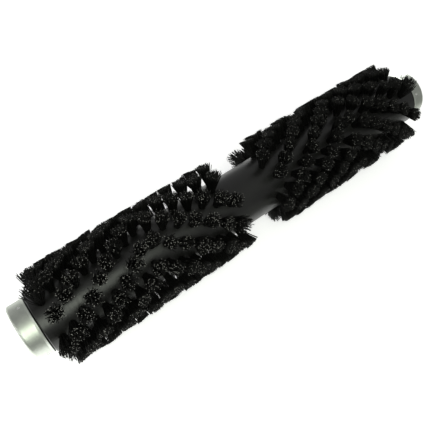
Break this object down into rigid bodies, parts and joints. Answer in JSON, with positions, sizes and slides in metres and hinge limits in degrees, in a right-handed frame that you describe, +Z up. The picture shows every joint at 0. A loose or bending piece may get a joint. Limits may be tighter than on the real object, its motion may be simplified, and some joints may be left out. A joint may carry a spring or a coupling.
{
  "type": "cylindrical scrub brush",
  "caption": "Roller scrub brush of a floor scrubber: black tube with V rows of nylon tufts in two fields, a bare middle band, and a metal bearing hub at each end.",
  "frame": {"origin": "on the spin axis, midway along the brush, which is the centre of its box", "axes": "+Y along the spin axis, from the left end to the right end; +Z up"},
  "size_m": [0.064, 0.323, 0.064],
  "materials": {
    "core_plastic": "semi-gloss black moulded plastic",
    "bristle_nylon": "black nylon filament, cut tips",
    "anchor_wire": "flat drawn wire",
    "hub_aluminium": "satin turned",
    "screw_steel": "zinc plated",
    "bearing_steel": "ground",
    "ball_steel": "polished",
    "cage_nylon": "moulded natural nylon",
    "seal_rubber": "moulded black rubber"
  },
  "bodies": {
    "brush": {"core_tube": "core_plastic", "left_tuft_row_01": "bristle_nylon", "left_tuft_row_02": "bristle_nylon", "left_tuft_row_03": "bristle_nylon", "left_tuft_row_04": "bristle_nylon", "left_tuft_row_05": "bristle_nylon", "left_tuft_row_06": "bristle_nylon", "left_tuft_row_07": "bristle_nylon", "left_tuft_row_08": "bristle_nylon", "left_tuft_row_09": "bristle_nylon", "left_tuft_row_10": "bristle_nylon", "right_tuft_row_01": "bristle_nylon", "right_tuft_row_02": "bristle_nylon", "right_tuft_row_03": "bristle_nylon", "right_tuft_row_04": "bristle_nylon", "right_tuft_row_05": "bristle_nylon", "right_tuft_row_06": "bristle_nylon", "right_tuft_row_07": "bristle_nylon", "right_tuft_row_08": "bristle_nylon", "right_tuft_row_09": "bristle_nylon", "right_tuft_row_10": "bristle_nylon", "left_tuft_anchors": "anchor_wire", "left_end_hub": "hub_aluminium", "left_hub_o_ring": "seal_rubber", "left_hub_grub_screws": "screw_steel", "left_bearing_outer_ring": "bearing_steel", "left_bearing_inner_seal": "seal_rubber", "left_bearing_outer_seal": "seal_rubber", "left_end_seal": "seal_rubber", "right_tuft_anchors": "anchor_wire", "right_end_hub": "hub_aluminium", "right_hub_o_ring": "seal_rubber", "right_hub_grub_screws": "screw_steel", "right_bearing_outer_ring": "bearing_steel", "right_bearing_inner_seal": "seal_rubber", "right_bearing_outer_seal": "seal_rubber", "right_end_seal": "seal_rubber"},
    "left_axle_ring": {"left_bearing_inner_ring": "bearing_steel"},
    "left_ball_set": {"left_bearing_balls": "ball_steel", "left_bearing_cage": "cage_nylon"},
    "right_axle_ring": {"right_bearing_inner_ring": "bearing_steel"},
    "right_ball_set": {"right_bearing_balls": "ball_steel", "right_bearing_cage": "cage_nylon"}
  },
  "joints": [
    {"name": "left_axle_spin", "type": "hinge", "parent": "brush", "child": "left_axle_ring", "pos_m": [0, -0.156, 0], "axis": [0, 1, 0], "continuous": true},
    {"name": "left_ball_set_spin", "type": "hinge", "parent": "brush", "child": "left_ball_set", "pos_m": [0, -0.156, 0], "axis": [0, 1, 0], "continuous": true},
    {"name": "right_axle_spin", "type": "hinge", "parent": "brush", "child": "right_axle_ring", "pos_m": [0, 0.156, 0], "axis": [0, 1, 0], "continuous": true},
    {"name": "right_ball_set_spin", "type": "hinge", "parent": "brush", "child": "right_ball_set", "pos_m": [0, 0.156, 0], "axis": [0, 1, 0], "continuous": true}
  ],
  "couplings": [
    {"joint": "left_ball_set_spin", "follows": "left_axle_spin", "ratio": 0.381},
    {"joint": "right_ball_set_spin", "follows": "right_axle_spin", "ratio": 0.381}
  ]
}
